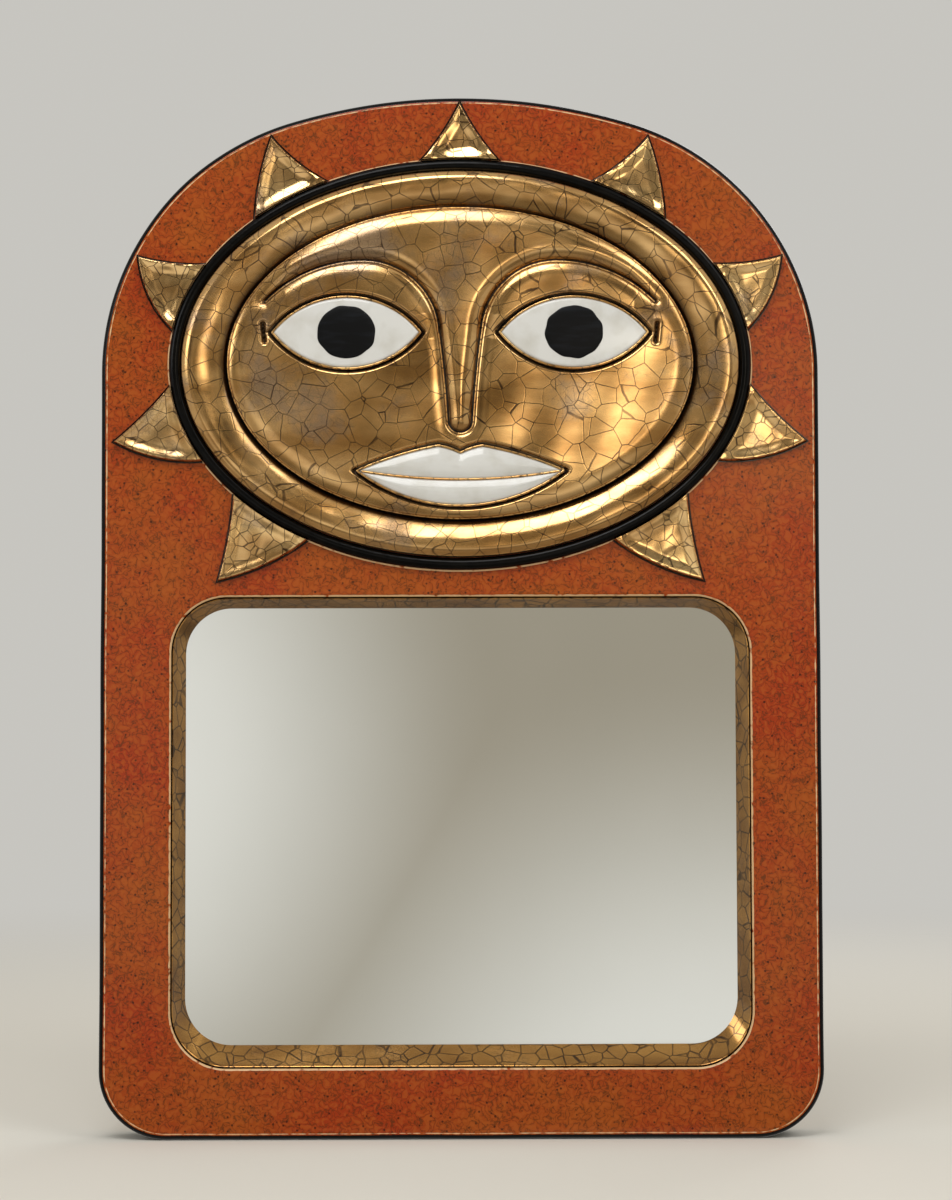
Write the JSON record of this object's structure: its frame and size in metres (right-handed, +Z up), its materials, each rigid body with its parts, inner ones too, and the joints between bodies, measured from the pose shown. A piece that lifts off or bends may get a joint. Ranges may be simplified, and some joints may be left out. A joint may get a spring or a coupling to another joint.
{
  "type": "framed mirror",
  "caption": "Arched glazed ceramic frame with a gold sun face in relief above a rectangular mirror, wooden back with turn buttons and hanging rings.",
  "frame": {"origin": "middle of the flat base, halfway between the front face and the back rim", "axes": "+Z up, +X to the viewer's right, the mirror faces -Y"},
  "size_m": [0.402, 0.0453, 0.5819],
  "materials": {
    "orange_glaze": "glossy red-orange glaze with fine olive and brown mottling, black glaze on the sides",
    "gold_lustre": "gold lustre over a dark crackle",
    "black_glaze": "glossy black",
    "white_glaze": "glossy warm white",
    "mirror": "silvered float glass",
    "card": "plain",
    "hardboard": "smooth hardboard",
    "plywood": "sanded birch plywood",
    "brass": "satin",
    "plated_steel": "bright nickel plate"
  },
  "bodies": {
    "frame": {"frame_body": "orange_glaze", "window_liner": "gold_lustre", "sun_disc": "gold_lustre", "face_plate": "gold_lustre", "brow_and_nose": "gold_lustre", "eyelid_left": "gold_lustre", "eyelid_right": "gold_lustre", "ray_top": "gold_lustre", "ray_upper_left": "gold_lustre", "ray_upper_right": "gold_lustre", "ray_temple_left": "gold_lustre", "ray_temple_right": "gold_lustre", "ray_cheek_left": "gold_lustre", "ray_cheek_right": "gold_lustre", "ray_chin_left": "gold_lustre", "ray_chin_right": "gold_lustre", "bead_ring": "black_glaze", "pupil_left": "black_glaze", "pupil_right": "black_glaze", "eye_left": "white_glaze", "eye_right": "white_glaze", "lip_upper": "white_glaze", "lip_lower": "white_glaze", "mirror_glass": "mirror", "packing_card": "card", "mirror_cover": "hardboard", "carrier_panel": "plywood", "turn_button_screws": "brass", "hanger_strap_left": "plated_steel", "hanger_strap_right": "plated_steel", "hanger_screws": "plated_steel"},
    "turn_button_lower_left": {"turn_button_lower_left": "brass"},
    "turn_button_lower_right": {"turn_button_lower_right": "brass"},
    "turn_button_upper_left": {"turn_button_upper_left": "brass"},
    "turn_button_upper_right": {"turn_button_upper_right": "brass"},
    "hanger_ring_left": {"hanger_ring_left": "plated_steel"},
    "hanger_ring_right": {"hanger_ring_right": "plated_steel"}
  },
  "joints": [
    {"name": "turn_button_lower_left_swing", "type": "hinge", "parent": "frame", "child": "turn_button_lower_left", "pos_m": [-0.18, 0.01215, 0.11005], "axis": [0, -1, 0], "range_deg": [-90, 90]},
    {"name": "turn_button_lower_right_swing", "type": "hinge", "parent": "frame", "child": "turn_button_lower_right", "pos_m": [0.18, 0.01215, 0.11005], "axis": [0, 1, 0], "range_deg": [-90, 90]},
    {"name": "turn_button_upper_left_swing", "type": "hinge", "parent": "frame", "child": "turn_button_upper_left", "pos_m": [-0.18, 0.01215, 0.23505], "axis": [0, -1, 0], "range_deg": [-90, 90]},
    {"name": "turn_button_upper_right_swing", "type": "hinge", "parent": "frame", "child": "turn_button_upper_right", "pos_m": [0.18, 0.01215, 0.23505], "axis": [0, 1, 0], "range_deg": [-90, 90]},
    {"name": "hanger_ring_left_swing", "type": "hinge", "parent": "frame", "child": "hanger_ring_left", "pos_m": [-0.105, 0.0136, 0.48], "axis": [1, 0, 0], "range_deg": [0, 175]},
    {"name": "hanger_ring_right_swing", "type": "hinge", "parent": "frame", "child": "hanger_ring_right", "pos_m": [0.105, 0.0136, 0.48], "axis": [1, 0, 0], "range_deg": [0, 175]}
  ]
}
